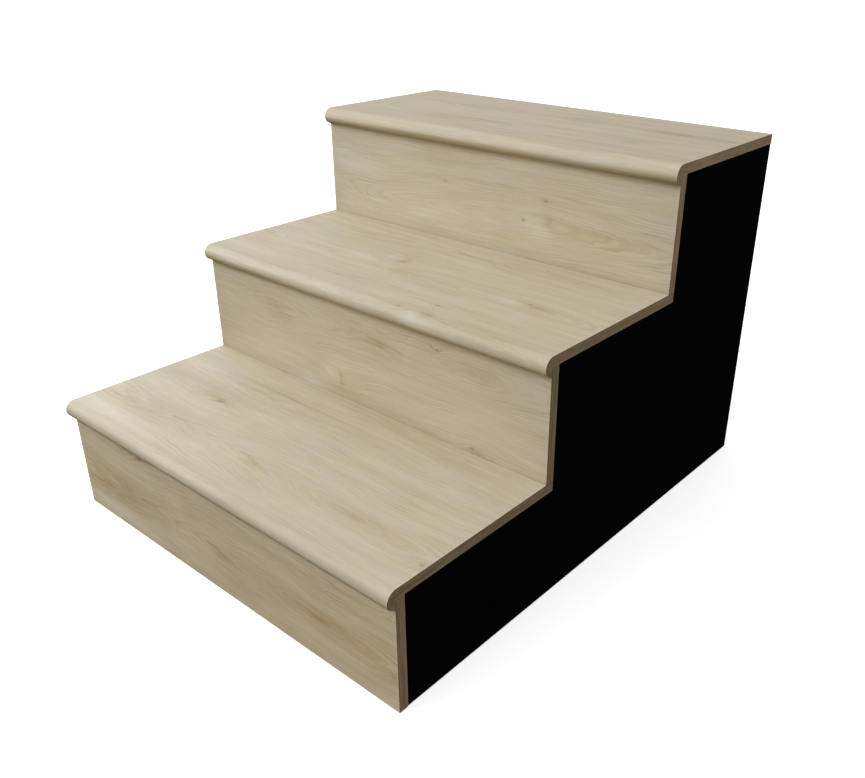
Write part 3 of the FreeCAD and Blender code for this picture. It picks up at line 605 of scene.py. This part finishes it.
def riser_material(step, look):
    """Riser, with its grain level."""
    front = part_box(f"riser_{step}")[0].y
    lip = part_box(f"nosing_{step}")[0].z

    def place(g, y, z):
        return g.add(z, look.shift), g.subtract(y, front)

    def facing(g, y, z, ny, nz):
        return g.spread(ny, -0.7, -0.5, 1.0, 0.0)

    def corner(g, y, z, nz):
        # Painted shade on the top of the riser, under the nosing's lip.
        shade_under_nosing = g.spread(z, lip - RISER_TOP_SHADE, lip)
        if step not in STEP_BELOW:
            return shade_under_nosing, 1.0
        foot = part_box(f"tread_{STEP_BELOW[step]}")[1].z
        # Painted shade at the riser's foot, fading over 22 mm, with a darker 3 mm line in the joint
        # itself.
        joint_shade = g.spread(z, foot, foot + RISER_FOOT_SHADE, 0.84, 1.0, smooth=False)
        joint = g.spread(z, foot, foot + 3 * MM, 0.94, 1.0)
        return shade_under_nosing, g.times(joint_shade, joint)

    return faced_board(f"oak_riser_{step}", look, place, facing, corner)


# ---------------------------------------------------------------- painted panels


def black_paint():
    """Matte black paint, rolled on, with the faint relief of the roller."""
    g = Graph("black_paint")
    place = g.node("ShaderNodeTexCoord").outputs["Object"]
    stipple = g.noise3(place, 900, detail=3)
    sweep = g.noise3(place, 14, detail=3)
    colour = g.mix(g.spread(sweep, -1.0, 1.0), (0.0012, 0.0012, 0.0013, 1), (0.0024, 0.0024, 0.0023, 1))
    roughness = g.total(0.62, g.times(sweep, 0.04), g.times(stipple, 0.04))
    relief = g.total(g.times(stipple, 0.02 * MM), g.times(sweep, 0.05 * MM))
    return g.finish(g.shader(colour, roughness, relief, bump=0.5, specular=0.03))


# ---------------------------------------------------------------- timber inside


def along_axis(g, axis):
    """Place along a piece's grain and the two places across it."""
    place = g.position()
    index = GRAIN_AXES[axis]
    return place[index], place[(index + 1) % 3], place[(index + 2) % 3]


def softwood(axis):
    """Planed spruce with its rings across the end grain and streaks along the piece."""
    g = Graph(f"softwood_{axis}")
    u, v, w = along_axis(g, axis)
    number = g.piece_number()
    shift = g.times(number, 3.0)
    heart_v = g.add(g.add(v, g.times(u, 0.03)), g.math("MULTIPLY_ADD", number, 0.35, 0.06))
    heart_w = g.add(g.add(w, g.times(u, 0.02)), g.math("MULTIPLY_ADD", number, -0.22, 0.31))
    sway = g.times(g.noise(g.add(u, shift), v, 0.25, 0.06, w=1.0), 2.5 * MM)
    rings = g.add(g.length(heart_v, heart_w), sway)
    phase = g.math("FRACT", g.times(rings, 1 / (3.4 * MM)))
    late = g.times(g.spread(phase, 0.45, 0.88), g.spread(phase, 0.92, 1.0, 1.0, 0.0))
    fibres = g.noise(g.add(u, shift), g.add(v, w), 0.05, 0.0012, w=2.0, detail=3)
    streaks = g.noise(g.add(u, shift), g.add(v, w), 0.3, 0.012, w=3.0, detail=3)
    colour = g.mix(late, linear(222, 196, 152), linear(190, 142, 86))
    shade = g.total(0.98, g.times(fibres, 0.035), g.times(streaks, 0.05))
    shade = g.add(shade, g.math("MULTIPLY_ADD", number, 0.10, -0.05))
    roughness = g.total(0.58, g.times(late, -0.08), g.times(fibres, 0.03))
    relief = g.total(g.times(late, 0.02 * MM), g.times(fibres, 0.012 * MM))
    return g.finish(g.shader(g.brightness(colour, shade), roughness, relief, bump=0.6, specular=0.35))


PLY_COUNT = 7


def plywood():
    """Plywood on edge: plain rotary-cut faces across X, and crossed layers on the edges."""
    g = Graph("plywood")
    x, y, z = g.position()
    nx, ny, nz = g.normal()
    low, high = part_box("centre_panel")
    plies = g.times(g.subtract(x, low.x), PLY_COUNT / (high.x - low.x))
    layer = g.math("FLOOR", plies)
    odd = g.math("MODULO", layer, 2.0)
    within = g.math("FRACT", plies)
    glue = g.math("MAXIMUM", g.spread(within, 0.0, 0.06, 1.0, 0.0), g.spread(within, 0.94, 1.0))
    run = g.noise(g.add(y, z), x, 0.02, 0.0008, w=layer, detail=3)
    edge = g.mix(odd, linear(206, 172, 122), linear(164, 122, 78))
    edge = g.brightness(edge, g.math("MULTIPLY_ADD", run, 0.06, 1.0))
    edge = g.mix(g.times(glue, 0.7), edge, linear(88, 58, 34))
    wave = g.noise(z, y, 0.5, 0.05, w=6.0, detail=4, distortion=0.8)
    lines = g.math("FRACT", g.times(wave, 4.0))
    late = g.times(g.spread(lines, 0.6, 0.95), 0.45)
    face = g.mix(late, linear(214, 182, 134), linear(178, 134, 86))
    side = g.spread(g.math("ABSOLUTE", nx), 0.62, 0.72)
    colour = g.mix(side, edge, face)
    return g.finish(g.shader(colour, 0.6, g.times(run, 0.01 * MM), bump=0.6, specular=0.3))


def beech():
    """Fluted beech rod: fine flecks on a pinkish ground."""
    g = Graph("beech")
    x, y, z = g.position()
    fleck = g.noise(g.add(x, z), y, 0.006, 0.0006, w=1.0, detail=2)
    grain = g.noise(g.add(x, z), y, 0.03, 0.002, w=2.0, detail=3)
    colour = g.mix(g.spread(fleck, 0.2, 1.2), linear(206, 166, 124), linear(160, 112, 74))
    colour = g.brightness(colour, g.math("MULTIPLY_ADD", grain, 0.06, 1.0))
    return g.finish(g.shader(colour, 0.55, g.times(grain, 0.01 * MM), specular=0.3))


def rubber():
    """Black rubber with a fine moulded grain and a little dust."""
    g = Graph("rubber")
    place = g.node("ShaderNodeTexCoord").outputs["Object"]
    grain = g.noise3(place, 2200, detail=2)
    dust = g.spread(g.noise3(place, 60, detail=4), 0.0, 1.4)
    colour = g.mix(g.times(dust, 0.5), (0.012, 0.012, 0.012, 1), (0.035, 0.034, 0.032, 1))
    roughness = g.math("MULTIPLY_ADD", dust, 0.12, 0.7)
    return g.finish(g.shader(colour, roughness, g.times(grain, 0.02 * MM), bump=0.6, specular=0.3))


def zinc():
    """Zinc-plated steel with a soft spangle."""
    g = Graph("zinc")
    place = g.node("ShaderNodeTexCoord").outputs["Object"]
    spangle = g.noise3(place, 700, detail=3)
    colour = g.mix(g.spread(spangle, -1.0, 1.0), linear(176, 178, 180), linear(206, 204, 196))
    roughness = g.math("MULTIPLY_ADD", spangle, 0.06, 0.32)
    return g.finish(g.shader(colour, roughness, g.times(spangle, 0.004 * MM), metallic=1.0))


# ---------------------------------------------------------------- dressing the pieces

# Painted light and shade in the shades below: the core shades brighten the shaded board ends, most on the
# upper step; the lower riser's face is brightened for the little light that reaches it; the nosing shades
# set the round fronts' brightness apart from the flat. The tones and the other face shades differ board by
# board.
TREADS = {
    "lower": Look(FIRST_PLANK, 0, tone=0.37, face=0.92, core=1.21, nosing=0.86),
    "middle": Look(SECOND_PLANK_AGAIN, 0, tone=0.38, face=0.93, core=1.36, nosing=0.875),
    "upper": Look(THIRD_PLANK, 0, tone=0.45, face=0.85, core=1.62, nosing=0.915),
}
RISERS = {
    "lower": Look(FIRST_PLANK, -451.5, tone=0.60, face=1.20, core=1.31),
    "middle": Look(SECOND_PLANK, -221.6, tone=0.45, face=0.985, core=1.19),
    "upper": Look(SECOND_PLANK, -613.3, tone=0.41, face=0.98, core=1.56),
}
for step in STEPS:
    tread = tread_material(step, TREADS[step])
    dress(f"tread_{step}", tread)
    dress(f"nosing_{step}", tread)
    dress(f"riser_{step}", riser_material(step, RISERS[step]))

paint = black_paint()
for name in ("side_panel_left", "side_panel_right", "back_panel"):
    dress(name, paint)
dress("centre_panel", plywood())

timber = {axis: softwood(axis) for axis in GRAIN_AXES}
rubber_feet = rubber()
steel = zinc()
rod = beech()
for name in NODES:
    if name.endswith("_screws"):
        dress(name, steel)
    elif name.endswith("_dowels"):
        dress(name, rod)
    elif name.startswith("foot_"):
        dress(name, rubber_feet)
    elif "rail" in name:
        dress(name, timber["x"])
    elif name.startswith(("cleat_", "base_batten_")):
        dress(name, timber["y"])
    elif "batten" in name:
        dress(name, timber["z"])


# ---------------------------------------------------------------- floor, light and camera


def studio_floor():
    """Pale seamless floor, lit a little from beneath so that shadows on it stay faint."""
    g = Graph("studio_floor")
    x, y, z = g.position()
    tone = g.noise(x, y, 1.5, 1.5, detail=2)
    colour = g.mix(g.spread(tone, -1.0, 1.0), (0.78, 0.78, 0.775, 1), (0.80, 0.80, 0.795, 1))
    shader = g.shader(colour, 0.9, specular=0.1)
    shader.inputs["Emission Color"].default_value = (1, 1, 1, 1)
    shader.inputs["Emission Strength"].default_value = 0.62
    material = g.finish(shader)
    mesh = bpy.data.meshes.new("studio_floor")
    reach = 30
    corners = [(-reach, -reach, 0), (reach, -reach, 0), (reach, reach, 0), (-reach, reach, 0)]
    mesh.from_pydata(corners, [], [(0, 1, 2, 3)])
    mesh.materials.append(material)
    floor = bpy.data.objects.new("studio_floor", mesh)
    bpy.context.scene.collection.objects.link(floor)
    floor.visible_diffuse = False
    floor.visible_glossy = False


def studio_wall():
    """White wall all round, far off, that only the camera sees: it takes no part in the lighting."""
    g = Graph("studio_wall")
    glow = g.node("ShaderNodeEmission")
    glow.inputs["Strength"].default_value = 1.0
    g.tree.links.new(glow.outputs[0], g.node("ShaderNodeOutputMaterial").inputs["Surface"])
    radius, height, sides = 20, 14, 48
    turns = [math.tau * side / sides for side in range(sides)]
    corners = [(radius * math.cos(a), radius * math.sin(a), z) for z in (0, height) for a in turns]
    faces = []
    for side in range(sides):
        following = (side + 1) % sides
        faces.append((side, following, sides + following, sides + side))
    mesh = bpy.data.meshes.new("studio_wall")
    mesh.from_pydata(corners, [], faces)
    mesh.materials.append(g.material)
    wall = bpy.data.objects.new("studio_wall", mesh)
    bpy.context.scene.collection.objects.link(wall)
    wall.visible_diffuse = False
    wall.visible_glossy = False
    wall.visible_shadow = False


def place_light(name, kind, direction, power):
    """Light whose beam comes from a direction."""
    data = bpy.data.lights.new(name, kind)
    data.energy = power
    light = bpy.data.objects.new(name, data)
    light.rotation_euler = Vector(direction).to_track_quat("Z", "Y").to_euler()
    bpy.context.scene.collection.objects.link(light)
    return light


def studio_lights():
    """Broad soft key from the front left, and a long softbox at the left that the satin oak reflects."""
    key = place_light("key", "SUN", (-0.45, -0.64, 0.66), 1.4)
    key.data.angle = math.radians(26)
    key.visible_glossy = False
    softbox = place_light("softbox", "AREA", (-1, -0.25, 0.15), 15)
    softbox.location = (-1.9, -0.6, 1.0)
    softbox.data.shape = "RECTANGLE"
    softbox.data.size, softbox.data.size_y = 2.4, 1.3


def studio_world():
    """Soft white surround: brightest at the front left, dimmer to the right and behind, dark below."""
    world = bpy.data.worlds.new("studio")
    bpy.context.scene.world = world
    world.use_nodes = True
    tree = world.node_tree
    background = tree.nodes["Background"]
    background.inputs["Color"].default_value = (1, 1, 1, 1)
    place = tree.nodes.new("ShaderNodeTexCoord").outputs["Generated"]

    def facing(direction):
        node = tree.nodes.new("ShaderNodeVectorMath")
        node.operation = "DOT_PRODUCT"
        node.inputs[1].default_value = Vector(direction).normalized()
        tree.links.new(place, node.inputs[0])
        return node.outputs["Value"]

    def spread(value, low, high, out_low, out_high):
        node = tree.nodes.new("ShaderNodeMapRange")
        node.interpolation_type = "SMOOTHSTEP"
        tree.links.new(value, node.inputs["Value"])
        limits = {"From Min": low, "From Max": high, "To Min": out_low, "To Max": out_high}
        for name, number in limits.items():
            node.inputs[name].default_value = number
        return node.outputs["Result"]

    def combine(operation, a, b):
        node = tree.nodes.new("ShaderNodeMath")
        node.operation = operation
        tree.links.new(a, node.inputs[0])
        tree.links.new(b, node.inputs[1])
        return node.outputs[0]

    dome = spread(facing((-0.58, -0.58, 0.60)), -0.65, 0.85, 0.37, 1.0)
    ground = spread(facing((0, 0, 1)), -0.15, 0.20, 0.05, 1.0)
    strength = combine("MULTIPLY", dome, ground)
    tree.links.new(strength, background.inputs["Strength"])


def camera():
    """Three-quarter view from the block's front right, a little above it."""
    data = bpy.data.cameras.new("camera")
    data.sensor_width = 36
    data.lens = 37.56
    data.shift_x, data.shift_y = -0.0324, 0.0132
    eye = bpy.data.objects.new("camera", data)
    eye.location = (0.9975, -1.0443, 0.8908)
    eye.rotation_euler = [math.radians(angle) for angle in (62.946, -0.029, 40.907)]
    bpy.context.scene.collection.objects.link(eye)
    bpy.context.scene.camera = eye


studio_floor()
studio_wall()
studio_world()
studio_lights()
camera()
bpy.context.scene.view_settings.view_transform = "Standard"
